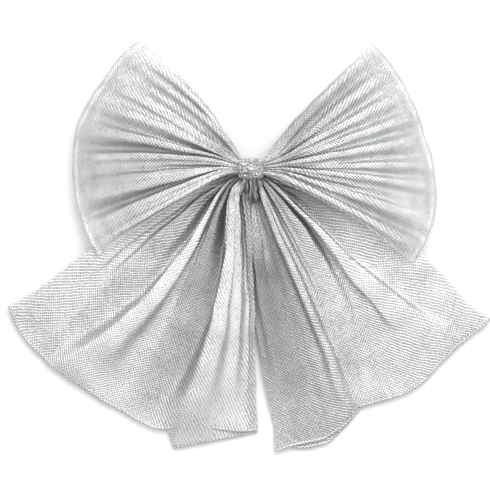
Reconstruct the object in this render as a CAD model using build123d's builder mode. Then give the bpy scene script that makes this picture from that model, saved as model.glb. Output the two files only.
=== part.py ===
from build123d import *
import math
import os

os.makedirs("parts", exist_ok=True)

# A gift bow made of strips of metallic net, lying on its back. The strips are pinched together in
# the middle, wound with thread and covered by a crumpled wrap. The loop band makes a loop on each
# side, and two tail strips lie behind it, each ending in a tail on each side.
# Origin: centre of the knot's flat back, on the surface that the bow lies on. +Y points to the
# loops' tips, away from the tails, and +Z out of the bow's front.

# ---------------------------------------------------------------- driving dimensions (mm)
CLOTH = 2.0  # stands for a layer of net with its fine creases

KNOT_WIDTH = 14.5  # wrap, along X
KNOT_DEPTH = 11.6  # wrap, along Y
KNOT_HEIGHT = 21.0  # wrap, back to front
KNOT_CORNER = 4.0
KNOT_EDGE_ROUND = 0.84  # less than the wrap's thickness
WRAP_THICKNESS = 1.4

LEFT_LOOP_RADIUS = 93.0  # knot to the outer fold
RIGHT_LOOP_RADIUS = 96.0
LOOP_ROOT = 12.5  # distance from the knot's centre at which a loop starts
LOOP_CREST = 25.5  # highest line of a loop's front layer
LOOP_CREST_RADIUS = 58.0
LOOP_SHOULDER_RADIUS = 29.0  # a point on the front layer's rise from the knot
LOOP_SHOULDER = 23.2
LOOP_BELLY = 6.7  # the back layer's underside, below the shoulder
STEEP_WALL = 1.2  # a layer's height over its thickness, where it climbs
FOLD_ROUND = 9.5  # the outer fold is a soft round, not a crease
LOOP_ROOT_BOTTOM = 11.2
LOOP_ROOT_TOP = 19.0

TAIL_RADIUS = 145.0  # knot to the hem of a front tail
TAIL_ROOT = 15.0
BACK_TAIL_LONGER = 3.0  # the back tails reach below the front ones
TAIL_CREST_RADIUS = 60.0
FRONT_TAIL_HEIGHTS = (7.2, 9.5, 5.0)  # underside at the root, at the crest and at the hem
BACK_TAIL_HEIGHTS = (3.4, 4.5, 0.0)

# directions of the fans' straight sides, degrees from +X
LEFT_LOOP_SIDES = (133.5, 204.5)
RIGHT_LOOP_SIDES = (-24.5, 45.5)
LEFT_TAIL_SIDES = (211.5, 266.0)
RIGHT_TAIL_SIDES = (-83.5, -31.5)
BACK_TAIL_INSET = 3.0  # degrees by which a back tail is narrower on its outer side

WAIST_DEPTH = 7.2  # pinched net, along Y
LOOP_WAIST_LENGTH = 17.0  # along X
LOOP_WAIST_HEIGHTS = (10.5, 18.0)  # underside and top
FRONT_WAIST_HEIGHTS = (6.5, 10.5)
BACK_WAIST_HEIGHTS = (3.0, 6.5)
WAIST_CORNER = 1.5
TAIL_WAIST_HALF_LENGTH = 11.2
WAIST_LEG_WIDTH = 3.0  # the tails' pleats turn down beside the wrap
WAIST_LEG_REACH = 4.8
WAIST_ROUND = 0.35

THREAD = 0.7
THREAD_TURNS = 5
THREAD_CORNER = 1.6
THREAD_PITCH = 0.6  # closer than its width, so the turns make one ribbed band

STITCH_COUNT = 4
STITCH_LENGTH = 2.4
STITCH = 0.6
STITCH_LINE = -2.2  # the lap's edge, along Y


# ---------------------------------------------------------------- helpers
def upright_plane(degrees):
    """The plane through the knot's centre line in one direction: its x runs out, its y up."""
    angle = math.radians(degrees)
    return Plane(origin=(0, 0, 0), x_dir=(math.cos(angle), math.sin(angle), 0),
                 z_dir=(math.sin(angle), -math.cos(angle), 0))


def draw_loop_section(radius, inset):
    """Draw a loop's closed side profile, moved in by an inset for the hollow inside it."""
    rounded = FOLD_ROUND - inset
    root = LOOP_ROOT + inset
    fold = CenterArc((radius - FOLD_ROUND, FOLD_ROUND), rounded, -90, 150)
    front = Spline(
        fold @ 1,
        (LOOP_CREST_RADIUS, LOOP_CREST - inset),
        (LOOP_SHOULDER_RADIUS, LOOP_SHOULDER - inset * STEEP_WALL),
        (root, LOOP_ROOT_TOP - inset),
        tangents=(fold % 1, (-1, -0.8)),
    )
    back = Spline(
        fold @ 0,
        (LOOP_SHOULDER_RADIUS, LOOP_BELLY + inset),
        (root, LOOP_ROOT_BOTTOM + inset),
        tangents=((-1, 0), (-1, 0.2)),
    )
    Line(front @ 1, back @ 1)


def make_loop(name, sides, radius):
    """A hollow loop: front layer, outer fold and back layer, turned about the knot."""
    with BuildPart() as loop:
        with BuildSketch(upright_plane(sides[0])):
            with BuildLine():
                draw_loop_section(radius, 0)
            make_face()
            with BuildLine():
                draw_loop_section(radius, CLOTH)
            make_face(mode=Mode.SUBTRACT)
        revolve(axis=Axis.Z, revolution_arc=sides[1] - sides[0])
    loop.part.label = name
    export_step(loop.part, f"parts/{name}.step")


def make_tail(name, sides, radius, heights):
    """One layer of a tail: a gently arched fan from the knot to the hem."""
    root, crest, hem = heights
    with BuildPart() as tail:
        with BuildSketch(upright_plane(sides[0])):
            with BuildLine():
                top = Spline((TAIL_ROOT, root + CLOTH), (TAIL_CREST_RADIUS, crest + CLOTH),
                             (radius, hem + CLOTH))
                bottom = Spline((TAIL_ROOT, root), (TAIL_CREST_RADIUS, crest), (radius, hem))
                Line(top @ 0, bottom @ 0)
                Line(top @ 1, bottom @ 1)
            make_face()
        revolve(axis=Axis.Z, revolution_arc=sides[1] - sides[0])
    tail.part.label = name
    export_step(tail.part, f"parts/{name}.step")


def make_tail_waist(name, heights):
    """A tail strip's pinched middle: a bar through the wrap, turned down at both ends."""
    leg_centre = TAIL_WAIST_HALF_LENGTH - WAIST_LEG_WIDTH / 2
    with BuildPart() as waist:
        with BuildSketch(Plane.XY.offset(heights[0])) as plan:
            Rectangle(2 * TAIL_WAIST_HALF_LENGTH, WAIST_DEPTH)
            with Locations((-leg_centre, 0), (leg_centre, 0)):
                Rectangle(WAIST_LEG_WIDTH, WAIST_LEG_REACH, align=(Align.CENTER, Align.MAX))
            fillet(plan.vertices(), radius=WAIST_ROUND)
        extrude(amount=heights[1] - heights[0])
        add(gathering_thread.part, mode=Mode.SUBTRACT)
    waist.part.label = name
    export_step(waist.part, f"parts/{name}.step")


# ---------------------------------------------------------------- loops and tails
make_loop("left_loop", LEFT_LOOP_SIDES, LEFT_LOOP_RADIUS)
make_loop("right_loop", RIGHT_LOOP_SIDES, RIGHT_LOOP_RADIUS)

left_back_sides = (LEFT_TAIL_SIDES[0] + BACK_TAIL_INSET, LEFT_TAIL_SIDES[1])
right_back_sides = (RIGHT_TAIL_SIDES[0], RIGHT_TAIL_SIDES[1] - BACK_TAIL_INSET)
back_radius = TAIL_RADIUS + BACK_TAIL_LONGER

make_tail("left_tail_front", LEFT_TAIL_SIDES, TAIL_RADIUS, FRONT_TAIL_HEIGHTS)
make_tail("right_tail_front", RIGHT_TAIL_SIDES, TAIL_RADIUS, FRONT_TAIL_HEIGHTS)
make_tail("left_tail_back", left_back_sides, back_radius, BACK_TAIL_HEIGHTS)
make_tail("right_tail_back", right_back_sides, back_radius, BACK_TAIL_HEIGHTS)

# ---------------------------------------------------------------- thread pulled tight round the three waists
stack_height = LOOP_WAIST_HEIGHTS[1] - BACK_WAIST_HEIGHTS[0]
stack_middle = BACK_WAIST_HEIGHTS[0] + stack_height / 2
first_turn = -THREAD_PITCH * (THREAD_TURNS - 1) / 2
with BuildPart() as gathering_thread:
    for turn in range(THREAD_TURNS):
        with BuildSketch(Plane.YZ.offset(first_turn + turn * THREAD_PITCH)):
            with Locations((0, stack_middle)):
                RectangleRounded(WAIST_DEPTH + 2 * THREAD, stack_height + 2 * THREAD,
                                 THREAD_CORNER)
                RectangleRounded(WAIST_DEPTH, stack_height, THREAD_CORNER - THREAD,
                                 mode=Mode.SUBTRACT)
        extrude(amount=THREAD / 2, both=True)
gathering_thread.part.label = "gathering_thread"
export_step(gathering_thread.part, "parts/gathering_thread.step")

# ---------------------------------------------------------------- pinched middles, in the wrap
loop_waist_height = LOOP_WAIST_HEIGHTS[1] - LOOP_WAIST_HEIGHTS[0]
with BuildPart() as loop_waist:
    with BuildSketch(Plane.YZ.offset(-LOOP_WAIST_LENGTH / 2)):
        with Locations((0, LOOP_WAIST_HEIGHTS[0] + loop_waist_height / 2)):
            RectangleRounded(WAIST_DEPTH, loop_waist_height, WAIST_CORNER)
    extrude(amount=LOOP_WAIST_LENGTH)
    add(gathering_thread.part, mode=Mode.SUBTRACT)
loop_waist.part.label = "loop_waist"
export_step(loop_waist.part, "parts/loop_waist.step")

make_tail_waist("front_tail_waist", FRONT_WAIST_HEIGHTS)
make_tail_waist("back_tail_waist", BACK_WAIST_HEIGHTS)

# ---------------------------------------------------------------- knot
# the stitches close the lap of the wrap, flush with its back
with BuildPart() as wrap_stitches:
    with Locations((0, STITCH_LINE, 0)):
        with GridLocations(KNOT_WIDTH / STITCH_COUNT, 1, STITCH_COUNT, 1):
            Box(STITCH, STITCH_LENGTH, STITCH, align=(Align.CENTER, Align.CENTER, Align.MIN))
wrap_stitches.part.label = "wrap_stitches"
export_step(wrap_stitches.part, "parts/wrap_stitches.step")

with BuildPart() as knot_wrap:
    with BuildSketch(Plane.YZ.offset(-KNOT_WIDTH / 2)):
        with Locations((0, KNOT_HEIGHT / 2)):
            RectangleRounded(KNOT_DEPTH, KNOT_HEIGHT, KNOT_CORNER)
    extrude(amount=KNOT_WIDTH)
    fillet(knot_wrap.faces().filter_by(Axis.X).edges(), radius=KNOT_EDGE_ROUND)
    with BuildSketch(Plane.YZ.offset(-KNOT_WIDTH / 2)):
        with Locations((0, KNOT_HEIGHT / 2)):
            RectangleRounded(KNOT_DEPTH - 2 * WRAP_THICKNESS, KNOT_HEIGHT - 2 * WRAP_THICKNESS,
                             KNOT_CORNER - WRAP_THICKNESS)
    extrude(amount=KNOT_WIDTH, mode=Mode.SUBTRACT)
    add(wrap_stitches.part, mode=Mode.SUBTRACT)
knot_wrap.part.label = "knot_wrap"
export_step(knot_wrap.part, "parts/knot_wrap.step")
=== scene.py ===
"""A pre-made gift bow of silver metallic net, lying on its back on a pale floor.

Each layer of net is a fan of pleats about the side of the knot. A pleat is laid out as a sheet
folds when its edge is gathered: its cloth keeps its width while the room it has narrows towards
the knot, so the folds stand up steeply there and flatten towards the hem.
"""

import math

import bpy
import numpy as np
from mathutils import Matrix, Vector, noise


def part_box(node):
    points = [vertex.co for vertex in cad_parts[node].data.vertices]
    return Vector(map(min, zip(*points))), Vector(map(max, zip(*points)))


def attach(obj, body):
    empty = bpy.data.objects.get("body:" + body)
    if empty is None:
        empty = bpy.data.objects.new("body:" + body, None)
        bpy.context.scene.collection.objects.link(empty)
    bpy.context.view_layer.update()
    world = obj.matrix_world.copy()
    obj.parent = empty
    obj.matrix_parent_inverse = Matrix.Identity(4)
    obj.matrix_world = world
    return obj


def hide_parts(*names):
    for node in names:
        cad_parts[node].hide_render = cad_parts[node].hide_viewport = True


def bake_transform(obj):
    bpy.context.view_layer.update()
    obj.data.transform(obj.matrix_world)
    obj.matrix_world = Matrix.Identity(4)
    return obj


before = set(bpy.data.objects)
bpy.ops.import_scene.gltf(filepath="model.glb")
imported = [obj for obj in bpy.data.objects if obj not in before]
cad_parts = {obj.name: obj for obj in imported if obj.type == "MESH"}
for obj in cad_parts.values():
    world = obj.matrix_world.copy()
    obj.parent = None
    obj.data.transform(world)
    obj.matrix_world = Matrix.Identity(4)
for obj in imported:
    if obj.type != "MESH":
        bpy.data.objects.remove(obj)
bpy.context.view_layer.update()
MM = 0.001
noise.seed_set(1)  # noise_vector would start from the clock, and differ in each run


# ------------------------------------------------------------------ how a gathered sheet folds
FOLD_STEPS = 13  # points across each half pleat
STEEP_SHARE = 0.4  # of a fold's rise, in the net's weave
CLOSEST = math.radians(0.35)  # the least angle between two pleat lines
PAST_STOPS = (0.35, 1.15)  # times the first and last stop: a curve is followed no further
CRUSHED_RISE = 0.8  # height over cloth of a fold that is gathered past the steepest slope
LEAST_RISE = 0.6  # height over room that a pleat has beside the apex at least
LEAST_RISE_OUT_TO = 95.0  # mm from the apex
LOW_FOLD = 0.25  # mm that a fold may stand at the apex itself
EARLY_RISE = 0.7  # below 1, folds stand up sooner on the way out from the apex
SHARPNESS_LOST = 0.75  # of the valleys' sharpness, out at the last stop
FALLING_SHARE = 0.4  # of that sharpness, on the second side of each crest
SLOPES = np.linspace(0.02, 1.9, 60)  # steepest slope of a fold, radians; past pi/2 it overhangs
_t = np.linspace(0, 1, 241)
_bend = np.sin(np.pi * _t)


def running(values):
    """The running integral of values over 0 to 1, by the trapezium rule."""
    steps = (values[1:] + values[:-1]) / 2 * (_t[1] - _t[0])
    return np.concatenate([[0], np.cumsum(steps)])


_across = np.array([running(np.cos(s * _bend)) for s in SLOPES])
_up = np.array([running(np.sin(s * _bend)) for s in SLOPES])
GATHERS = 1 / _across[:, -1]  # cloth over room, for each slope
RISES = _up[:, -1]  # height over cloth, for each slope
_pick = np.linspace(0, 1, FOLD_STEPS)
ACROSS = np.array([np.interp(_pick, _t, a / a[-1]) for a in _across])
UP = np.array([np.interp(_pick, _t, u / u[-1]) for u in _up])


def three_point(values, stops, r):
    """A smooth curve through three values at three radii, against the radius's logarithm."""
    a, b, c = np.log(stops)
    x = np.log(np.clip(r, stops[0] * PAST_STOPS[0], stops[2] * PAST_STOPS[1]))
    return (values[0] * (x - b) * (x - c) / ((a - b) * (a - c))
            + values[1] * (x - a) * (x - c) / ((b - a) * (b - c))
            + values[2] * (x - a) * (x - b) / ((c - a) * (c - b)))


def smooth(x):
    """0 below 0, 1 above 1, and a smooth step between them."""
    x = np.clip(x, 0, 1)
    return x * x * (3 - 2 * x)


def pleated_fan(lines, stops, radii, slack, tallest, round_crests, tallest_at=21.0):
    """How a pleated layer lies round its apex: the direction and height of each point, as arrays
    of radii by columns, each column's place across the cut cloth, and how much darker it is, for
    net folded double and painted shade.
    lines: a pleat line each, (direction near, midway, far in degrees, height near, midway, far),
    and, if given, how much darker the net is there, for net folded double and painted shade, below
    0 lighter, painted light where it is drawn taut.
    slack: spare cloth at the rim, as a share. tallest: the highest that a fold stands, in mm,
    which it may do from tallest_at mm out. round_crests: 1 folds evenly, and more makes round
    crests and sharp valleys."""
    count = len(lines)
    angles = np.radians([three_point(row[:3], stops, radii) for row in lines])  # lines by radii
    turn = np.sign(lines[-1][2] - lines[0][2])
    for i in range(1, count):
        angles[i] = turn * np.maximum(turn * angles[i], turn * angles[i - 1] + CLOSEST)
    room = np.abs(np.diff(angles, axis=0)) * radii
    cloth = room[:, -1] * (1 + slack)
    ratio = cloth[:, None] / np.maximum(room, 1e-6)
    slope = np.interp(ratio, GATHERS, np.arange(len(SLOPES)))
    rise = room * np.clip(ratio, 1, GATHERS[-1]) * np.interp(ratio, GATHERS, RISES)
    steep = ratio > GATHERS[-1]  # a fold that is gathered further only stands taller
    rise = np.where(steep, np.maximum(rise, CRUSHED_RISE * cloth[:, None]), rise)
    rise = np.maximum(rise, LEAST_RISE * room * (1 - smooth(radii / LEAST_RISE_OUT_TO)))
    rise = np.minimum(rise, tallest * smooth(radii / tallest_at) ** EARLY_RISE + LOW_FOLD)
    reach = smooth((radii - stops[0]) / (stops[2] - stops[0]))
    height = np.zeros((count, len(radii)))
    for i, row in enumerate(lines):
        beside = [rise[j] for j in (i - 1, i) if 0 <= j < count - 1]
        share = np.interp(np.log(radii), np.log(stops), row[3:6])
        height[i] = share * 0.5 * np.mean(beside, axis=0)  # half the rise, up or down
    sharp = (1 + (round_crests - 1) * (1 - SHARPNESS_LOST * reach))[:, None]
    # the seventh values: net folded double and painted shade, below 0 painted light
    layers = [row[6] if len(row) > 6 else 0.0 for row in lines]
    columns, heights, places, doubled_and_shade = [], [], [], []
    width = np.concatenate([[0], np.cumsum(cloth)])
    for i in range(count - 1):
        low = np.floor(slope[i]).astype(int).clip(0, len(SLOPES) - 2)
        part = (slope[i] - low)[:, None]
        across = ACROSS[low] * (1 - part) + ACROSS[low + 1] * part
        up = UP[low] * (1 - part) + UP[low + 1] * part
        rising = height[i + 1] > height[i]
        up = np.where(rising[:, None], 1 - (1 - up) ** sharp,
                      up ** (1 + FALLING_SHARE * (sharp - 1)))
        last = FOLD_STEPS if i == count - 2 else FOLD_STEPS - 1
        turned = angles[i][:, None] + (angles[i + 1] - angles[i])[:, None] * across
        raised = height[i][:, None] + (height[i + 1] - height[i])[:, None] * up
        columns.append(turned[:, :last])
        heights.append(raised[:, :last])
        places.append(width[i] + (width[i + 1] - width[i]) * _pick[:last])
        doubled_and_shade.append(layers[i] + (layers[i + 1] - layers[i]) * _pick[:last])
    return (np.concatenate(columns, axis=1), np.concatenate(heights, axis=1),
            np.concatenate(places), np.concatenate(doubled_and_shade))


def woven(points):
    """Each point's place across the cloth in metres, measured over the folds from the middle
    column. Steep cloth counts for less, because the real net lies in flat layers there."""
    step = np.linalg.norm(np.diff(points, axis=1) * (1, 1, STEEP_SHARE), axis=2)
    across = np.concatenate([np.zeros((len(points), 1)), np.cumsum(step, axis=1)], axis=1)
    return (across - across[:, points.shape[1] // 2][:, None]) * MM


def crease_shade(heights, deep, wide=FOLD_STEPS + 4):
    """How far each point lies down between the crests beside it, 0 to 1: painted shade in the
    valleys.
    deep: the depth in mm that counts as 1. wide: how many columns off a crest may be."""
    crest = heights.copy()
    for shift in range(1, wide):
        crest[:, shift:] = np.maximum(crest[:, shift:], heights[:, :-shift])
        crest[:, :-shift] = np.maximum(crest[:, :-shift], heights[:, shift:])
    return np.clip((crest - heights) / deep, 0, 1)


def doubled_and_shade_shown(radii, start, rise, fade_from, fade_over, lost):
    """How much of the bands' darkening, for net folded double and painted shade, shows at each
    radius: not beside the knot, and less out at the rim.
    The last value is the share that is lost there, and the others are in mm."""
    shown = smooth((radii - start) / rise) * (1 - lost * smooth((radii - fade_from) / fade_over))
    return shown[:, None]


def mark(obj, values):
    """Store a value for each point of a grid, for its material: its painted shade and folded-double
    bands.
    """
    layer = obj.data.attributes.new("shade_and_doubling", "FLOAT", "POINT")
    layer.data.foreach_set("value", np.asarray(values, np.float32).ravel())


def rim_radius(rims, angles):
    """The hem's or fold's distance from the apex in each direction."""
    degrees, values = zip(*sorted(rims))
    return np.interp(np.degrees(angles), degrees, values)


def crumple(points, size, amount, seed):
    """A soft, even crumple: a displacement for each point, from smooth noise."""
    flat = points.reshape(-1, 3)
    out = np.empty_like(flat)
    shift = Vector((seed * 7.3, seed * 3.1, seed * 5.7))  # another part of the noise for each seed
    for i, p in enumerate(flat):
        out[i] = noise.noise_vector(Vector(p) / size + shift)
    return (out * amount).reshape(points.shape)


def grid_mesh(name, points, across, along, closed=None):
    """A mesh of quads over a grid of points, with the cut cloth's own metres as its UVs. closed
    joins the last "columns" or "rows" to the first."""
    rows, cols = points.shape[:2]
    index = np.arange(rows * cols).reshape(rows, cols)
    a, b = index[:-1, :-1].ravel(), index[1:, :-1].ravel()
    c, d = index[1:, 1:].ravel(), index[:-1, 1:].ravel()
    faces = np.stack([a, b, c, d], axis=1)
    if closed == "columns":
        seam = np.stack([index[:-1, -1], index[1:, -1], index[1:, 0], index[:-1, 0]], axis=1)
        faces = np.concatenate([faces, seam])
    if closed == "rows":
        seam = np.stack([index[-1, :-1], index[0, :-1], index[0, 1:], index[-1, 1:]], axis=1)
        faces = np.concatenate([faces, seam])
    mesh = bpy.data.meshes.new(name)
    mesh.from_pydata(points.reshape(-1, 3).tolist(), [], faces.tolist())
    uv = mesh.uv_layers.new(name="cloth")
    table = np.stack([np.broadcast_to(across, (rows, cols)).ravel(),
                      np.broadcast_to(along, (rows, cols)).ravel()], axis=1)
    corners = np.empty(len(mesh.loops), int)
    mesh.loops.foreach_get("vertex_index", corners)
    uv.data.foreach_set("uv", table[corners].astype(np.float32).ravel())
    mesh.polygons.foreach_set("use_smooth", [True] * len(mesh.polygons))
    mesh.update()
    obj = bpy.data.objects.new(name, mesh)
    bpy.context.scene.collection.objects.link(obj)
    return obj


# ------------------------------------------------------------------ materials
WEAVE = 1.2 * MM  # one mesh of the net
SHEEN_PATCHES = 0.7  # painted sheen: how much the soft patches where the net catches the light vary in brightness
EVEN_SHADE = 0.51  # its brightness without the painted sheen patches and glints
CROSSING_SHADE = 0.10  # added where two threads cross
SHADED = 0.75  # the part of the colour that all of that acts on
THREAD_LIGHT, GAP_BALANCE = 1.05, 0.97  # keep the net's mean brightness whatever the gaps are
GLINT_ROUGHNESS = 0.22  # spread of roughness from mesh to mesh


def maths(tree, operation, a, b=None, c=None):
    """A maths node fed by sockets or numbers; gives its output socket."""
    n = tree.nodes.new("ShaderNodeMath")
    n.operation = operation
    for i, value in enumerate((a, b, c)):
        if value is None:
            continue
        if isinstance(value, (int, float)):
            n.inputs[i].default_value = value
        else:
            tree.links.new(value, n.inputs[i])
    return n.outputs[0]


def silver_net(name, base, solid, solid_far=None, rim=95.0, roughness=0.36, near=0.62, full=50.0,
               dark=0.5, sparkle=0.24, gaps=0.58):
    """Metallic net: two sets of silver threads crossing at 45 degrees to the strip, with painted
    glints and painted sheen. solid is how much light its meshes stop near the knot, where the net
    is drawn together, and solid_far the same out at the rim, that many mm from the knot. near is
    how bright it is beside the knot, in painted shade, full how many mm out it is at its brightest,
    dark how much the painted shade in its valleys and its bands of net folded double darken it,
    sparkle how much its painted glints vary, and gaps how much darker it is between the threads."""
    material = bpy.data.materials.new(name)
    material.use_nodes = True
    tree = material.node_tree
    tree.nodes.clear()
    link = tree.links.new
    out = tree.nodes.new("ShaderNodeOutputMaterial")
    shader = tree.nodes.new("ShaderNodeBsdfPrincipled")
    shader.inputs["Metallic"].default_value = 0.72
    shader.inputs["Sheen Weight"].default_value = 0.15
    shader.inputs["Sheen Roughness"].default_value = 0.4

    place = tree.nodes.new("ShaderNodeUVMap")
    place.uv_map = "cloth"
    turn = tree.nodes.new("ShaderNodeMapping")
    turn.inputs["Rotation"].default_value = (0, 0, math.radians(45))
    turn.inputs["Scale"].default_value = (1 / WEAVE, 1 / WEAVE, 1)
    link(place.outputs[0], turn.inputs["Vector"])
    wobble = tree.nodes.new("ShaderNodeTexNoise")
    wobble.inputs["Scale"].default_value = 0.35
    wobble.inputs["Detail"].default_value = 2.0
    link(turn.outputs[0], wobble.inputs["Vector"])
    shift = tree.nodes.new("ShaderNodeVectorMath")
    shift.operation = "MULTIPLY_ADD"
    shift.inputs[1].default_value = (0.9, 0.9, 0)
    link(wobble.outputs["Color"], shift.inputs[0])
    link(turn.outputs[0], shift.inputs[2])
    split = tree.nodes.new("ShaderNodeSeparateXYZ")
    link(shift.outputs[0], split.inputs[0])

    ways = []
    for axis in ("X", "Y"):
        wave = maths(tree, "SINE", maths(tree, "MULTIPLY", split.outputs[axis], math.pi))
        ways.append(maths(tree, "ABSOLUTE", wave))
    nearest = maths(tree, "MINIMUM", ways[0], ways[1])
    thread = tree.nodes.new("ShaderNodeMapRange")
    thread.interpolation_type = "SMOOTHSTEP"
    thread.inputs["From Min"].default_value = 0.75
    thread.inputs["From Max"].default_value = 0.15
    link(nearest, thread.inputs["Value"])
    crossing = maths(tree, "SUBTRACT", 1.0, maths(tree, "MAXIMUM", ways[0], ways[1]))

    cell = tree.nodes.new("ShaderNodeVectorMath")
    cell.operation = "FLOOR"
    link(shift.outputs[0], cell.inputs[0])
    glint = tree.nodes.new("ShaderNodeTexWhiteNoise")
    glint.noise_dimensions = "2D"
    link(cell.outputs[0], glint.inputs["Vector"])
    sheen_patch = tree.nodes.new("ShaderNodeTexNoise")
    sheen_patch.inputs["Scale"].default_value = 55.0
    sheen_patch.inputs["Detail"].default_value = 3.0
    coords = tree.nodes.new("ShaderNodeTexCoord")
    link(coords.outputs["Object"], sheen_patch.inputs["Vector"])

    away = tree.nodes.new("ShaderNodeVectorMath")
    away.operation = "LENGTH"
    link(coords.outputs["Object"], away.inputs[0])
    knot_shade = tree.nodes.new("ShaderNodeMapRange")  # painted shade: darker towards the knot, where the net is also drawn together
    knot_shade.interpolation_type = "SMOOTHSTEP"
    knot_shade.inputs["From Min"].default_value = 8 * MM
    knot_shade.inputs["From Max"].default_value = full * MM
    knot_shade.inputs["To Min"].default_value = near
    link(away.outputs["Value"], knot_shade.inputs["Value"])
    # painted glints and sheen: brighter at random meshes and in soft patches
    shade = maths(tree, "MULTIPLY_ADD", glint.outputs["Value"], sparkle,
                  maths(tree, "MULTIPLY_ADD", sheen_patch.outputs["Fac"], SHEEN_PATCHES,
                        EVEN_SHADE - sparkle / 2))
    shade = maths(tree, "MULTIPLY", shade, knot_shade.outputs[0])
    # painted shade: darker down in the folds' valleys and in bands where the net lies folded
    # double, lighter (painted light) where drawn taut
    shade_and_doubling = tree.nodes.new("ShaderNodeAttribute")
    shade_and_doubling.attribute_name = "shade_and_doubling"
    darkened = maths(tree, "MULTIPLY_ADD", shade_and_doubling.outputs["Fac"], -dark, 1.0)
    shade = maths(tree, "MULTIPLY", shade, darkened)
    shade = maths(tree, "MULTIPLY_ADD", crossing, CROSSING_SHADE, shade)
    lit = maths(tree, "MULTIPLY", maths(tree, "MULTIPLY_ADD", shade, SHADED, 1 - SHADED),
                maths(tree, "MULTIPLY_ADD", thread.outputs[0], gaps,
                      THREAD_LIGHT - gaps * GAP_BALANCE))
    tint = tree.nodes.new("ShaderNodeMix")
    tint.data_type = "RGBA"
    tint.inputs["A"].default_value = (0, 0, 0, 1)
    tint.inputs["B"].default_value = (*base, 1)
    link(lit, tint.inputs["Factor"])
    link(tint.outputs["Result"], shader.inputs["Base Color"])

    link(maths(tree, "MULTIPLY_ADD", glint.outputs["Value"], GLINT_ROUGHNESS, roughness - 0.1),
         shader.inputs["Roughness"])
    mesh = tree.nodes.new("ShaderNodeMapRange")
    mesh.inputs["From Min"].default_value = 22 * MM
    mesh.inputs["From Max"].default_value = rim * MM
    mesh.inputs["To Min"].default_value = solid
    mesh.inputs["To Max"].default_value = solid if solid_far is None else solid_far
    link(away.outputs["Value"], mesh.inputs["Value"])
    open_share = maths(tree, "SUBTRACT", 1.0, mesh.outputs[0])
    gap = maths(tree, "SUBTRACT", 1.0, thread.outputs[0])
    link(maths(tree, "SUBTRACT", 1.0, maths(tree, "MULTIPLY", open_share, gap)),
         shader.inputs["Alpha"])
    relief = tree.nodes.new("ShaderNodeBump")
    relief.inputs["Strength"].default_value = 0.55
    relief.inputs["Distance"].default_value = 0.25 * MM
    link(maths(tree, "MULTIPLY_ADD", glint.outputs["Value"], 0.5, thread.outputs[0]),
         relief.inputs["Height"])
    link(relief.outputs[0], shader.inputs["Normal"])
    link(shader.outputs[0], out.inputs["Surface"])
    return material


def thread_material():
    """Twisted polyester thread."""
    material = bpy.data.materials.new("thread")
    material.use_nodes = True
    tree = material.node_tree
    shader = tree.nodes["Principled BSDF"]
    shader.inputs["Sheen Weight"].default_value = 0.4
    shader.inputs["Roughness"].default_value = 0.6
    wave = tree.nodes.new("ShaderNodeTexWave")
    wave.bands_direction = "DIAGONAL"
    wave.inputs["Scale"].default_value = 900.0
    coords = tree.nodes.new("ShaderNodeTexCoord")
    tree.links.new(coords.outputs["Object"], wave.inputs["Vector"])
    ramp = tree.nodes.new("ShaderNodeValToRGB")
    ramp.color_ramp.elements[0].color = (0.36, 0.37, 0.37, 1)
    ramp.color_ramp.elements[1].color = (0.66, 0.67, 0.67, 1)
    tree.links.new(wave.outputs["Fac"], ramp.inputs["Fac"])
    tree.links.new(ramp.outputs["Color"], shader.inputs["Base Color"])
    relief = tree.nodes.new("ShaderNodeBump")
    relief.inputs["Strength"].default_value = 0.4
    relief.inputs["Distance"].default_value = 0.1 * MM
    tree.links.new(wave.outputs["Fac"], relief.inputs["Height"])
    tree.links.new(relief.outputs[0], shader.inputs["Normal"])
    return material


# The same silver net each time: the loops' lighter base colour is painted light, and the tails'
# darker one painted shade
LOOP_NET = silver_net("silver_net_loop", (0.882, 0.902, 0.882), solid=0.9, solid_far=0.04,
                      rim=92.0, near=0.86, full=85.0, dark=0.5, gaps=0.52)
TAIL_NET = silver_net("silver_net_tail", (0.812, 0.832, 0.812), solid=0.92, solid_far=0.4,
                      rim=125.0, near=0.5, full=75.0, dark=0.5, gaps=0.44)
WRAP_NET = silver_net("silver_net_wrap", (0.94, 0.958, 0.94), solid=0.97, roughness=0.24,
                      near=0.85, dark=0.8, sparkle=0.9)
PUCKER_NET = silver_net("silver_net_pucker", (0.94, 0.958, 0.94), solid=0.97, near=0.8, full=40.0,
                        dark=0.9, sparkle=0.8)
HEM_NET = silver_net("silver_net_hem", (0.755, 0.77, 0.755), solid=0.95)
THREAD = thread_material()

# ------------------------------------------------------------------ the layers of net
# Each pleat line: direction near the knot, midway and far out (degrees from +X), then the height
# of its crest (+) or valley (-) near, midway and far, as a share of what the cloth would stand,
# then how much darker its band is, for net folded double and painted shade, and below 0 lighter,
# painted light. Each rim: (direction, mm from the apex) round it.
LOOP_STOPS = (15.0, 40.0, 85.0)
TAIL_STOPS = (15.0, 32.0, 110.0)

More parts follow.
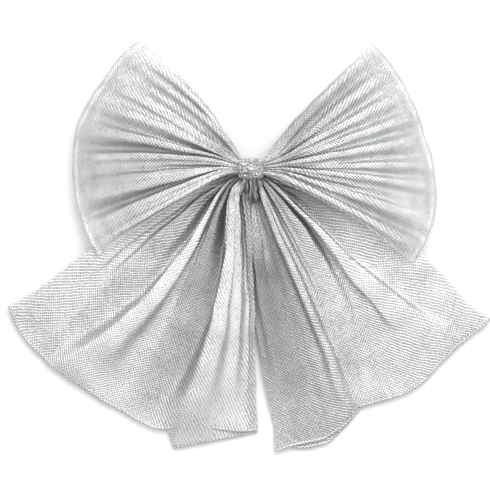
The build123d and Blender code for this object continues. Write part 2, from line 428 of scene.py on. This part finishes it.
LEFT_LOOP_APEX = (-6.8, 2.6)
LEFT_LOOP_ROOT = ((-4.5, 4.2), (-4.5, -3.4))
LEFT_LOOP_FRONT = [
    (110.0, 127.0, 133.8, 0.3, 0.2, 0.1, 0.35),
    (115.0, 129.3, 135.0, 0.8, 0.8, 1.3, 0.3),
    (131.0, 136.5, 140.0, -0.7, -0.4, -0.7, 0.2),
    (144.0, 146.0, 147.0, 0.3, 0.3, 0.9, 0.1),
    (149.5, 150.3, 152.0, 0.4, 0.1, -0.4, 0.1),
    (152.8, 153.4, 157.0, 0.9, 0.8, 1.3, 0.15),
    (158.5, 161.5, 161.5, -1.2, -0.6, -0.9, 0.25),
    (163.0, 165.5, 167.0, 0.7, 0.5, 1.3, 0.4),
    (167.6, 171.0, 174.5, -0.5, -0.9, -1.1, 0.5),
    (172.0, 174.5, 178.0, 0.6, 0.5, 1.1, 0.55),
    (180.5, 180.0, 182.0, 0.3, 0.1, -0.4, 0.6),
    (186.0, 183.5, 184.0, -1.2, -0.3, -0.4, 0.6),
    (189.5, 187.5, 187.5, 0.6, 0.5, 1.1, 0.6),
    (194.5, 193.0, 193.0, 0.7, 0.5, 1.3, 0.55),
    (197.5, 198.3, 199.5, -0.8, -1.1, -1.3, 0.4),
    (201.5, 201.8, 203.0, 0.5, 0.4, 0.7, 0.35),
    (205.5, 205.8, 206.0, 0.2, 0.2, 0.2, 0.3),
    (210.5, 209.8, 209.5, 0.8, 0.7, 1.1, 0.3),
    (217.0, 213.0, 213.0, -0.8, -0.5, -0.4, 0.3),
]
LEFT_LOOP_RIM = [(112, 84), (132, 83.6), (140, 84), (150, 83.5), (168, 87.2), (182, 87),
                 (194, 87.6), (211, 88)]

RIGHT_LOOP_APEX = (7.9, 1.6)
RIGHT_LOOP_ROOT = ((4.5, 4.2), (4.5, -3.4))
RIGHT_LOOP_FRONT = [
    (66.5, 54.8, 49.3, 0.3, 0.2, 0.1, 1.45),
    (52.0, 51.0, 47.0, 0.6, 0.6, 1.1, 1.25),
    (40.0, 43.5, 42.5, 0.0, -0.3, -0.7, 0.8),
    (34.5, 36.6, 38.0, -0.5, 0.4, 1.3, 0.4),
    (31.0, 32.0, 32.5, -1.2, -0.1, -0.4, 0.2),
    (27.8, 27.3, 27.0, 0.8, 0.6, 0.9, 0.15),
    (22.0, 22.5, 22.5, 0.5, -0.1, -0.4, 0.1),
    (15.0, 17.0, 18.5, -0.3, 0.4, 1.3, 0.1),
    (12.3, 13.2, 14.0, -1.3, -0.3, -0.7, 0.1),
    (7.0, 8.7, 9.5, 0.9, 0.7, 1.3, 0.1),
    (1.5, 3.0, 4.0, 0.4, -0.2, -0.4, 0.1),
    (-2.5, -0.5, 0.3, -0.4, 0.3, 1.3, 0.1),
    (-4.5, -4.0, -4.0, -1.3, -0.3, -0.7, 0.1),
    (-7.5, -7.0, -7.5, 0.7, 0.6, 1.1, 0.05),
    (-12.0, -11.5, -11.0, 0.4, 0.0, -0.4, 0.05),
    (-15.5, -15.5, -14.5, -1.1, -0.7, 0.2, 0.05),
    (-19.0, -18.5, -19.0, 0.7, 0.5, 0.9, 0.0),
    (-24.0, -24.3, -24.8, -0.2, -0.6, -1.3, 0.0),
    (-30.0, -28.0, -28.5, 0.8, 0.7, 1.3, 0.0),
    (-41.0, -31.5, -33.4, -0.6, -0.4, -0.3, 0.0),
]
RIGHT_LOOP_RIM = [(66, 86), (48, 85.3), (26, 84.1), (11, 85), (-1, 88.5), (-11, 91.4), (-19, 92.8),
                  (-28, 92.8)]


def even_crests(directions):
    """Pleat lines that stand up and lie down in turn, and end flat."""
    lines = [(*row, 0.9 * side, 0.9 * side, 0.45 * side)
             for row, side in zip(directions, [-1, 1] * len(directions))]
    for end in (0, -1):
        lines[end] = (*directions[end], 0.0, 0.0, 0.0)
    return lines


# the loops' back layers, seen at their tops and from behind
LEFT_LOOP_BACK = even_crests([
    (110.0, 117.5, 128.5), (116.3, 123.1, 133.4), (122.6, 128.6, 138.3), (130.2, 135.3, 144.6),
    (136.5, 140.8, 149.5), (142.8, 146.4, 154.4), (149.1, 152.0, 159.3), (155.4, 157.5, 164.3),
    (163.1, 164.2, 170.6), (169.3, 169.8, 175.5), (175.6, 175.3, 180.4), (181.9, 180.9, 185.3),
    (188.2, 186.4, 190.2), (195.9, 193.1, 196.5), (202.2, 198.7, 201.4), (208.4, 204.2, 206.3),
    (215.0, 210.0, 211.5)])
RIGHT_LOOP_BACK = even_crests([
    (64.0, 52.5, 47.0), (58.3, 47.8, 42.6), (50.9, 41.8, 36.6), (45.0, 36.9, 31.9),
    (39.0, 32.0, 27.2), (33.0, 27.1, 22.6), (27.1, 22.2, 17.9), (19.7, 16.2, 11.9),
    (13.7, 11.3, 7.2), (7.8, 6.4, 2.6), (1.8, 1.5, -2.1), (-4.2, -3.4, -6.8),
    (-11.6, -9.4, -12.8), (-17.5, -14.3, -17.5), (-23.5, -19.2, -22.1), (-29.5, -24.2, -26.8),
    (-36.0, -29.5, -32.0)])

LEFT_TAIL_APEX = (-4.2, -4.7)
LEFT_TAIL_ROOT = ((-6.5, -2.5), (-0.6, -3.5))
LEFT_TAIL = [
    (186.0, 194.9, 207.4, 0.3, 0.2, 0.1, -0.2),
    (192.0, 200.5, 211.0, -0.3, 0.3, 0.1, -0.2),
    (197.5, 206.3, 217.0, -0.8, -1.0, -0.1, -0.25),
    (202.0, 210.5, 219.5, 0.6, 0.4, 0.0, -0.3),
    (205.0, 216.5, 221.5, 0.2, 0.2, -0.1, -0.4),
    (209.5, 225.0, 224.0, -1.4, -1.0, 0.0, -0.45),
    (215.5, 229.5, 230.0, 1.1, 1.1, 1.0, -1.0),
    (221.0, 234.3, 240.0, -0.3, -0.6, -0.2, -0.75),
    (227.0, 238.0, 246.0, -0.1, -0.1, -0.8, 0.05),
    (237.0, 252.5, 251.0, -1.5, -1.3, -0.7, 0.05),
    (245.0, 256.5, 259.0, 1.0, 0.9, 1.0, -0.4),
    (258.0, 265.0, 266.5, 1.0, 0.9, 0.2, -1.25),
    (268.0, 271.5, 271.0, -1.5, -1.4, -0.6, -0.8),
    (276.0, 275.3, 272.8, -0.9, -0.7, -0.7, 0.5),
    (284.0, 278.5, 273.6, -1.5, -1.4, -0.9, 0.6),
]
LEFT_TAIL_RIM = [(190, 140.5), (210, 141.5), (213, 142.6), (224, 141.8), (231, 138.8), (240, 138.3),
                 (245, 139.5), (251, 139.5), (254, 138), (262, 134), (268, 133.5), (276, 133.5)]
LEFT_UNDER_RIM = [(190, 138), (210, 139), (224, 140), (240, 136.3), (253, 137), (255.5, 147),
                  (264, 138.5), (272, 134.5), (277, 134.5)]

RIGHT_TAIL_APEX = (5.8, -4.7)
RIGHT_TAIL_ROOT = ((6.5, -2.5), (0.6, -3.5))
RIGHT_TAIL = [
    (-11.0, -12.7, -28.6, 0.8, 0.6, 0.3, -0.1),
    (-20.0, -21.5, -32.0, -0.9, -0.6, 0.0, -0.2),
    (-32.0, -39.0, -38.0, -1.2, -0.9, -0.1, -0.3),
    (-38.0, -42.5, -42.0, 1.0, 0.9, 0.3, -0.4),
    (-43.5, -45.6, -57.0, -0.3, -0.9, -0.3, -0.05),
    (-50.0, -52.0, -60.0, 0.9, 0.8, 0.1, 0.0),
    (-60.0, -60.0, -62.5, 0.6, 0.2, 0.1, 0.05),
    (-69.0, -64.5, -64.5, -1.8, -0.6, 0.2, 0.1),
    (-75.0, -69.5, -66.8, 0.9, 0.9, 1.0, 0.2),
    (-82.0, -74.5, -69.0, 1.0, 1.0, 1.4, 0.4),
    (-91.0, -79.5, -73.0, -1.6, -1.5, 0.3, 0.7),
    (-101.0, -88.0, -77.0, -1.5, -1.3, -0.3, 0.85),
    (-107.0, -96.0, -83.6, -1.1, -0.8, -0.5, 1.05),
    (-114.0, -103.0, -88.6, -1.5, -1.4, -1.0, 1.05),
]
RIGHT_TAIL_RIM = [(-10, 141), (-33, 141.2), (-36, 139.0), (-41, 136.6), (-46, 135.9), (-51, 136.8),
                  (-56, 136), (-62, 133), (-67.6, 131.0), (-69.5, 135), (-73, 138.5),
                  (-77, 141.5), (-84, 142.5), (-87, 144), (-113, 144)]
RIGHT_UNDER_RIM = [(-10, 138), (-33, 138), (-41, 134.5), (-50, 135), (-66, 131.5), (-68, 133.5),
                   (-72, 139), (-76, 144), (-80, 144), (-84, 142.5), (-113, 142.5)]
WRAP_REACH = 9.0  # mm from the apex at which the columns are rays
UNDER_DROP = 1.4  # mm that a tail's back layer lies below its front one

LOOP_SLACK, TAIL_SLACK = 0.03, 0.0
# the rows of points, as shares of the way to the rim: they are closer beside the knot
LOOP_ROWS = np.concatenate([np.linspace(0.004, 0.2, 26), np.linspace(0.213, 0.97, 80)])
TAIL_ROWS = np.concatenate([np.linspace(0.004, 0.2, 30), np.linspace(0.212, 1.0, 96)])
FOLD_ROWS = 18  # rows round a loop's outer fold
FOLD_BLUNT = 0.75  # below 1, the fold is rounder than half an oval
# share of the way from knot to rim, and the height there
LOOP_ARCH = ((0, 0.05, 0.15, 0.3, 0.5, 0.7, 0.85, 0.93, 0.97),
             (15, 15.5, 18.5, 21.5, 22.5, 21, 18, 15.2, 13.0))
LOOP_BELLY = ((0, 0.08, 0.2, 0.42, 0.8, 0.93, 0.97), (13.0, 11.5, 9.0, 6.5, 5.0, 6.0, 7.4))
TAIL_LIFT = ((0, 0.1, 0.3, 0.6, 1.0), (8.0, 9.0, 10.0, 8.5, 4.4))
# beside the tail, which lies under it, a loop's back layer is lifted: by how many mm, from which
# share of the cloth's width and over how much of it, and how far out in full
TAIL_UNDER_LOOP, OVER_TAIL_FROM, OVER_TAIL_WIDTH = 6.5, 0.74, 0.2
OVER_TAIL_OUT = ([0.1, 0.75, 1], [1, 1, 0.2])
# the least heights, in mm
LOOP_FLOOR, BACK_LAYER_FLOOR, TAIL_FLOOR, UNDER_TAIL_FLOOR = 0.35, 0.5, 1.2, 0.4
HEM_FLOOR, WRAP_FLOOR = 0.2, 0.3
SETTLING = 1.5  # mm over its least height at which a tail starts to lie flat
HEM_WIDTH, HEM_THICKNESS, HEM_GIRTH = 1.7, 0.8, 4.0
HEM_SIDES = 10
HEM_INSET = 0.35  # of its width: the middle of the hem lies inside the net's edge

WRAP_WIDTH, WRAP_LENGTH = 22.0, 64.0  # the strip, laid flat
WRAP_STEPS_AROUND, WRAP_STEPS_ALONG = 200, 90
WRAP_FILL = (0.94, 0.82, 0.96)  # of the CAD wrap's half size; the wrinkles fill the rest
WRAP_SHIFT = 0.2  # mm along Y
WRAP_SQUARE = 0.62  # 1 is an oval section, and less is squarer
WRAP_END_TUCK, WRAP_BULGE = 0.42, 0.05  # how much it narrows at its very ends, and towards them
WRAP_END_ROWS = 1.35  # radians: the more, the closer the rows at the ends
# the wrap's wrinkles: how fast they change along X, Y and Z, and their place in the noise
WIDE_WRINKLES = (0.22, 0.55, 0.5), (0, 0, 0)
FINE_WRINKLES = (0.5, 1.3, 1.2), (9, 0, 0)
TINY_WRINKLES = (1.6, 2.4, 2.4), (0, 5, 0)
WRINKLE_TOP, WRINKLE_DEPTH = 0.5, 1.4  # mm: painted shade in the wrap's wrinkles, from there down, over that depth

WAIST_ROWS = 44
WAIST_PLEAT_STEPS = 12  # points round each pleat
WAIST_GIRTH = 60.0  # mm of net round a waist
WAIST_RIPPLES = (0.16, 0.05)  # its pleats' depth, and how far that varies, over its half width
PINCH = 0.18  # how much narrower a waist is in the middle

PUCKER_RADIUS = 15.0
PUCKER_STOPS = (4.0, 8.0, PUCKER_RADIUS)
PUCKER_APEX = (0.2, -3.0)
PUCKER_ROOT = ((-4.5, -3.0), (4.5, -3.0))
PUCKER_LIFT = ((0, 0.12, 0.4, 1), (16.5, 15.5, 12.5, 6.0))
PUCKER = [
    (200.0, 222.0, 238.0, -0.3, -0.5, -0.5),
    (214.0, 234.0, 246.0, 1.0, 0.9, 0.9),
    (228.0, 244.0, 252.0, -1.0, -1.0, -1.0),
    (244.0, 253.0, 259.0, 0.8, 1.0, 1.0),
    (258.0, 262.0, 264.0, -1.1, -1.2, -1.2),
    (270.0, 268.0, 270.0, 0.7, 0.8, 0.8),
    (280.0, 276.0, 275.0, -1.0, -0.9, -0.9),
    (292.0, 286.0, 282.0, 1.1, 1.0, 1.0),
    (306.0, 296.0, 289.0, -0.8, -0.8, -0.8),
    (320.0, 306.0, 296.0, 0.6, 0.5, 0.5),
    (338.0, 318.0, 302.0, -0.3, -0.6, -0.6),
]


def place_fan(directions, heights, apex, root, radii, scale, share):
    """Set a fan's points in space. scale stretches each column to its rim. The columns start side
    by side along the root, a line inside the wrap, and turn into rays about the apex."""
    r = radii[:, None] * scale
    x = apex[0] + r * np.cos(directions)
    y = apex[1] + r * np.sin(directions)
    free = smooth(radii / WRAP_REACH)[:, None]
    x = x * free + (root[0][0] + (root[1][0] - root[0][0]) * share) * (1 - free)
    y = y * free + (root[0][1] + (root[1][1] - root[0][1]) * share) * (1 - free)
    return np.stack([x, y, heights], axis=2)


def cloth_length(points):
    """The distance along the middle column from the first row, in metres, a number for each row."""
    step = np.linalg.norm(np.diff(points[:, points.shape[1] // 2], axis=0), axis=1)
    return (np.concatenate([[0], np.cumsum(step)]) * MM)[:, None]


def cut_size(points, place):
    """The flat cut's width and length in metres: its cloth across, and its columns' mean length."""
    length = np.linalg.norm(np.diff(points, axis=0), axis=2).sum(axis=0).mean()
    return float(place[-1]) * MM, float(length) * MM


def make_loop(name, front_lines, back_lines, apex, root, rims, seed):
    """A loop band: front layer, round outer fold and back layer in one sheet."""
    nominal = np.mean([v for _, v in rims])
    radii = LOOP_ROWS * nominal
    front, front_z, place, doubled_and_shade = pleated_fan(front_lines, LOOP_STOPS, radii, LOOP_SLACK,
                                                 tallest=10.0, round_crests=2.6, tallest_at=27.0)
    back, back_z, back_place, _ = pleated_fan(back_lines, LOOP_STOPS, radii, LOOP_SLACK,
                                              tallest=10.0, round_crests=1.2)
    # the back layer takes the front layer's columns, by their share of the cloth
    share = place / place[-1]
    back = np.array([np.interp(share, back_place / back_place[-1], row) for row in back])
    back_z = np.array([np.interp(share, back_place / back_place[-1], row) for row in back_z])
    scale = rim_radius(rims, front[-1]) / nominal
    arch = np.interp(LOOP_ROWS, *LOOP_ARCH)[:, None]
    belly = np.interp(LOOP_ROWS, *LOOP_BELLY)[:, None]
    beside_tail = smooth((share - OVER_TAIL_FROM) / OVER_TAIL_WIDTH)[None, :]
    belly = belly + TAIL_UNDER_LOOP * (beside_tail * np.interp(LOOP_ROWS, *OVER_TAIL_OUT)[:, None])
    back_height = np.maximum(belly + back_z, BACK_LAYER_FLOOR)
    top = place_fan(front, arch + front_z, apex, root, radii, scale, share)
    bottom = place_fan(back, back_height, apex, root, radii, scale, share)
    turns = np.linspace(0, 1, FOLD_ROWS + 2)[1:-1]
    outward = np.stack([np.cos(front[-1]), np.sin(front[-1]), 0 * front[-1]], axis=1)
    deep = ((nominal - radii[-1]) * scale)[:, None]
    fold = []
    for t in turns:
        fall = 0.5 - 0.5 * math.cos(math.pi * t)
        fold.append(top[-1] * (1 - fall) + bottom[-1] * fall
                    + outward * deep * math.sin(math.pi * t) ** FOLD_BLUNT)
    points = np.concatenate([top, np.array(fold), bottom[::-1]], axis=0)
    along, cut = cloth_length(points), cut_size(points, place)
    points = points + crumple(points, size=9.0, amount=0.45, seed=seed)
    points[:, :, 2] = np.maximum(points[:, :, 2], LOOP_FLOOR)
    obj = grid_mesh(name, points * MM, woven(points), along)
    obj.data.materials.append(LOOP_NET)
    # painted shade in the valleys, with the bands of net folded double and their painted shade
    folds = crease_shade(front_z, deep=5.0) + doubled_and_shade * doubled_and_shade_shown(
        radii, start=8, rise=20, fade_from=55, fade_over=30, lost=0.6)
    mark(obj, np.concatenate([folds, np.repeat(folds[-1:], len(fold), axis=0),
                              crease_shade(back_z, deep=6.0)[::-1]]))
    return obj, cut


def make_tail(name, lines, apex, root, rims, drop, seed):
    """One layer of a tail, and the rolled hem on its end. drop sets it below the front layer."""
    nominal = np.mean([v for _, v in rims])
    radii = TAIL_ROWS * nominal
    directions, z, place, doubled_and_shade = pleated_fan(lines, TAIL_STOPS, radii, TAIL_SLACK,
                                                tallest=14.0, round_crests=3.0)
    scale = rim_radius(rims, directions[-1]) / nominal
    lift = np.interp(TAIL_ROWS, *TAIL_LIFT)[:, None]
    points = place_fan(directions, lift + z - drop, apex, root, radii, scale, place / place[-1])
    along, cut = cloth_length(points), cut_size(points, place)
    points = points + crumple(points, size=14.0, amount=0.9, seed=seed)
    floor = UNDER_TAIL_FLOOR if drop else TAIL_FLOOR
    over = points[:, :, 2] - floor
    settled = SETTLING * np.exp(np.minimum(over / SETTLING - 1, 0))
    points[:, :, 2] = floor + np.where(over > SETTLING, over, settled)
    obj = grid_mesh(name, points * MM, woven(points), along)
    obj.data.materials.append(TAIL_NET)
    # painted shade in the valleys, with the bands of net folded double and their painted shade
    deep = (6.0 + 5.0 * smooth((radii - 40) / 60))[:, None]
    mark(obj, crease_shade(z, deep, wide=2 * FOLD_STEPS + 6) + doubled_and_shade * doubled_and_shade_shown(
        radii, start=12, rise=38, fade_from=85, fade_over=35, lost=0.35))
    hem = roll(name.replace("net", "hem"), points[-1], points[-4], place)
    return obj, hem, cut


def roll(name, edge, inside, place):
    """A narrow rolled hem: an oval tube along an edge, flat on the cloth."""
    along = np.gradient(edge, axis=0)
    along /= np.linalg.norm(along, axis=1)[:, None]
    inward = inside - edge
    inward /= np.linalg.norm(inward, axis=1)[:, None]
    up = np.cross(along, inward)
    up *= np.sign(up[:, 2:3])
    middle = edge + inward * HEM_WIDTH * HEM_INSET
    rings = [middle + inward * math.cos(t) * HEM_WIDTH / 2 + up * math.sin(t) * HEM_THICKNESS / 2
             for t in np.linspace(0, 2 * math.pi, HEM_SIDES + 1)[:-1]]
    points = np.stack(rings, axis=1)
    points[:, :, 2] = np.maximum(points[:, :, 2], HEM_FLOOR)
    round_it = np.linspace(0, HEM_GIRTH, HEM_SIDES) * MM
    obj = grid_mesh(name, points * MM, round_it, (place * MM)[:, None], closed="columns")
    obj.data.materials.append(HEM_NET)
    return obj


def wrinkle(p, scale, shift):
    """Smooth noise at one point, -1 to 1."""
    return noise.noise(Vector(np.multiply(p, scale) + shift))


def make_wrap():
    """The knot's wrap: a crumpled strip of net wound once round the pinched middles."""
    low, high = (np.array(v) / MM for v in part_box("knot_wrap"))
    middle, half = (low + high) / 2, (high - low) / 2
    around = np.linspace(0, 2 * np.pi, WRAP_STEPS_AROUND, endpoint=False)
    along = np.linspace(-1, 1, WRAP_STEPS_ALONG)
    u, v = np.meshgrid(around, along)
    tuck = (1 - np.abs(v) ** 6 * WRAP_END_TUCK) * (1 - WRAP_BULGE * v ** 2)
    x = np.sin(v * WRAP_END_ROWS) / math.sin(WRAP_END_ROWS) * half[0]
    y = np.sign(np.cos(u)) * np.abs(np.cos(u)) ** WRAP_SQUARE * half[1] * tuck
    z = np.sign(np.sin(u)) * np.abs(np.sin(u)) ** WRAP_SQUARE * half[2] * tuck
    points = np.stack([middle[0] + x * WRAP_FILL[0], middle[1] + WRAP_SHIFT + y * WRAP_FILL[1],
                       middle[2] + z * WRAP_FILL[2]], axis=2)
    outward = np.stack([0 * u, np.cos(u), np.sin(u)], axis=2)
    # mm outwards: wide and fine wrinkles fold in sharply, and tiny ones either way
    wrinkles = np.empty(u.shape)
    for index in np.ndindex(u.shape):
        wide, fine, tiny = (wrinkle(points[index], *kind)
                            for kind in (WIDE_WRINKLES, FINE_WRINKLES, TINY_WRINKLES))
        wrinkles[index] = 0.9 - 2.4 * abs(wide) - 1.5 * abs(fine) - 0.5 * tiny
    points = points + outward * (wrinkles * (1 - 0.5 * np.abs(v) ** 4))[:, :, None]
    points[:, :, 2] = np.maximum(points[:, :, 2], WRAP_FLOOR)
    points = np.swapaxes(points, 0, 1)[::-1]
    obj = grid_mesh("crumpled_wrap", points * MM, (v.T + 1) * WRAP_WIDTH / 2 * MM,
                    u.T / (2 * np.pi) * WRAP_LENGTH * MM, closed="rows")
    obj.data.materials.append(WRAP_NET)
    # painted shade: darker down in the wrap's wrinkles
    mark(obj, np.clip((WRINKLE_TOP - np.swapaxes(wrinkles, 0, 1)[::-1]) / WRINKLE_DEPTH, 0, 1))
    return obj


def make_waist(name, cad_node, path, wide, high, pleats, seed):
    """A strip's pinched middle: a bunch of pleats along a path through the wrap."""
    path = np.array(path, float)
    along = np.linspace(0, len(path) - 1, WAIST_ROWS)
    middle = np.stack([np.interp(along, range(len(path)), path[:, k]) for k in range(3)], axis=1)
    for _ in range(6):
        middle[1:-1] = (middle[:-2] + 2 * middle[1:-1] + middle[2:]) / 4
    way = np.gradient(middle, axis=0)
    way /= np.linalg.norm(way, axis=1)[:, None]
    side = np.cross(way, (0, 0, 1.0))
    around = np.linspace(0, 2 * np.pi, WAIST_PLEAT_STEPS * pleats, endpoint=False)
    deep, uneven = WAIST_RIPPLES
    ripple = 1 + deep * np.sin(around * pleats) + uneven * np.sin(around * (pleats // 2) + seed)
    pinch = 1 - PINCH + PINCH * np.linspace(-1, 1, WAIST_ROWS) ** 2
    points = (middle[:, None] + side[:, None] * (np.cos(around) * ripple)[None, :, None]
              * (pinch * wide / 2)[:, None, None])
    points[:, :, 2] += (np.sin(around) * ripple)[None, :] * pinch[:, None] * high / 2
    obj = grid_mesh(name, points * MM, around / (2 * np.pi) * WAIST_GIRTH * MM,
                    cloth_length(points), closed="columns")
    obj.data.materials.append(WRAP_NET)
    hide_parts(cad_node)
    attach(obj, "knot")


def make_pucker():
    """The front tails' net where it is drawn up under the wrap: short, tight, uneven folds."""
    radii = np.linspace(0.5, PUCKER_RADIUS, 46)
    directions, z, place, _ = pleated_fan(PUCKER, PUCKER_STOPS, radii, slack=1.3,
                                          tallest=5.0, round_crests=1.4)
    share = place / place[-1]
    lift = np.interp(radii / PUCKER_RADIUS, *PUCKER_LIFT)[:, None]
    reach = 1 - 0.18 * np.cos(share * 23) ** 2 - 0.12 * np.cos(share * 61)  # an uneven edge
    points = place_fan(directions, lift + z, PUCKER_APEX, PUCKER_ROOT, radii, reach, share)
    points = points + crumple(points, size=3.0, amount=0.8, seed=9)
    obj = grid_mesh("pucker", points * MM, woven(points), cloth_length(points))
    obj.data.materials.append(PUCKER_NET)
    # painted shade: darker down in the pucker's valleys
    mark(obj, crease_shade(z, deep=2.5))
    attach(obj, "knot")
    return obj, (float(place[-1]) * MM, PUCKER_RADIUS * MM)


left_loop, left_cut = make_loop("left_loop_band", LEFT_LOOP_FRONT, LEFT_LOOP_BACK, LEFT_LOOP_APEX,
                                LEFT_LOOP_ROOT, LEFT_LOOP_RIM, seed=1)
right_loop, right_cut = make_loop("right_loop_band", RIGHT_LOOP_FRONT, RIGHT_LOOP_BACK,
                                  RIGHT_LOOP_APEX, RIGHT_LOOP_ROOT, RIGHT_LOOP_RIM, seed=2)
left_front, left_front_hem, left_tail_cut = make_tail(
    "left_tail_net", LEFT_TAIL, LEFT_TAIL_APEX, LEFT_TAIL_ROOT, LEFT_TAIL_RIM,
    drop=0.0, seed=3)
left_back, left_back_hem, _ = make_tail(
    "left_under_tail_net", LEFT_TAIL, LEFT_TAIL_APEX, LEFT_TAIL_ROOT, LEFT_UNDER_RIM,
    drop=UNDER_DROP, seed=4)
right_front, right_front_hem, right_tail_cut = make_tail(
    "right_tail_net", RIGHT_TAIL, RIGHT_TAIL_APEX, RIGHT_TAIL_ROOT, RIGHT_TAIL_RIM,
    drop=0.0, seed=5)
right_back, right_back_hem, _ = make_tail(
    "right_under_tail_net", RIGHT_TAIL, RIGHT_TAIL_APEX, RIGHT_TAIL_ROOT, RIGHT_UNDER_RIM,
    drop=UNDER_DROP, seed=6)
wrap = make_wrap()
make_waist("pinched_loop_band", "loop_waist", [(-6.4, 0, 14.6), (0, 0, 14.3), (6.4, 0, 14.6)],
           wide=7.6, high=6.6, pleats=11, seed=1)
make_waist("pinched_front_tails", "front_tail_waist",
           [(-6.4, -3.6, 8.2), (-4.6, -1, 8.4), (0, 0, 8.6), (4.6, -1, 8.4), (6.4, -3.6, 8.2)],
           wide=7.0, high=3.6, pleats=9, seed=2)
make_waist("pinched_back_tails", "back_tail_waist",
           [(-6.4, -3.6, 4.6), (-4.6, -1, 4.6), (0, 0, 4.7), (4.6, -1, 4.6), (6.4, -3.6, 4.6)],
           wide=7.0, high=3.2, pleats=9, seed=3)
pucker, pucker_cut = make_pucker()

for piece, cad_node, body in (
        (left_loop, "left_loop", "left_loop"),
        (right_loop, "right_loop", "right_loop"),
        (left_front, "left_tail_front", "left_tail"),
        (left_front_hem, None, "left_tail"),
        (left_back, "left_tail_back", "left_tail"),
        (left_back_hem, None, "left_tail"),
        (right_front, "right_tail_front", "right_tail"),
        (right_front_hem, None, "right_tail"),
        (right_back, "right_tail_back", "right_tail"),
        (right_back_hem, None, "right_tail")):
    if cad_node:
        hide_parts(cad_node)
    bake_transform(piece)

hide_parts("knot_wrap")
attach(wrap, "knot")

for name in ("gathering_thread", "wrap_stitches"):
    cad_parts[name].data.materials.clear()
    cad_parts[name].data.materials.append(THREAD)


# ------------------------------------------------------------------ floor, light and camera
def floor_material():
    material = bpy.data.materials.new("floor")
    material.use_nodes = True
    shader = material.node_tree.nodes["Principled BSDF"]
    shader.inputs["Base Color"].default_value = (0.81, 0.81, 0.825, 1)
    shader.inputs["Roughness"].default_value = 0.8
    return material


def add_floor():
    bpy.ops.mesh.primitive_plane_add(size=6, location=(0, 0, 0))
    floor = bpy.context.object
    floor.name = "floor"
    floor.data.materials.append(floor_material())


def add_light(name, place, size, power):
    data = bpy.data.lights.new(name, "AREA")
    data.size = size
    data.energy = power
    lamp = bpy.data.objects.new(name, data)
    lamp.location = place
    lamp.rotation_euler = (Vector((0, 0, 0)) - Vector(place)).to_track_quat("-Z", "Y").to_euler()
    bpy.context.scene.collection.objects.link(lamp)


def add_world():
    """A soft box overhead that falls off towards a dimmer room."""
    world = bpy.data.worlds.new("studio")
    bpy.context.scene.world = world
    world.use_nodes = True
    tree = world.node_tree
    background = tree.nodes["Background"]
    coords = tree.nodes.new("ShaderNodeTexCoord")
    split = tree.nodes.new("ShaderNodeSeparateXYZ")
    tree.links.new(coords.outputs["Generated"], split.inputs[0])
    ramp = tree.nodes.new("ShaderNodeValToRGB")
    stops = ramp.color_ramp.elements
    stops[0].position, stops[0].color = 0.0, (0.4, 0.4, 0.41, 1)
    stops[1].position, stops[1].color = 1.0, (1.0, 1.0, 1.0, 1)
    for place, level in ((0.35, 0.42), (0.7, 0.7), (0.86, 0.93)):
        stop = stops.new(place)
        stop.color = (level, level, level * 1.01, 1)
    tree.links.new(split.outputs["Z"], ramp.inputs["Fac"])
    tree.links.new(ramp.outputs["Color"], background.inputs["Color"])
    background.inputs["Strength"].default_value = 1.25


def add_camera():
    """Straight down over the bow, with +Y up in the picture."""
    view_width = 256.8 * MM
    aim = Vector((-3.1 * MM, -39.8 * MM, 12 * MM))
    distance = 1.2
    sensor_width = 36
    data = bpy.data.cameras.new("camera")
    data.sensor_width = sensor_width
    data.lens = sensor_width * distance / view_width
    data.clip_end = 20
    camera = bpy.data.objects.new("camera", data)
    camera.location = aim + Vector((0, 0, distance))
    bpy.context.scene.collection.objects.link(camera)
    bpy.context.scene.camera = camera


add_floor()
add_world()
add_light("key", (0.27, 0.63, 1.3), size=1.0, power=17)
add_camera()
bpy.context.scene.view_settings.view_transform = "Standard"
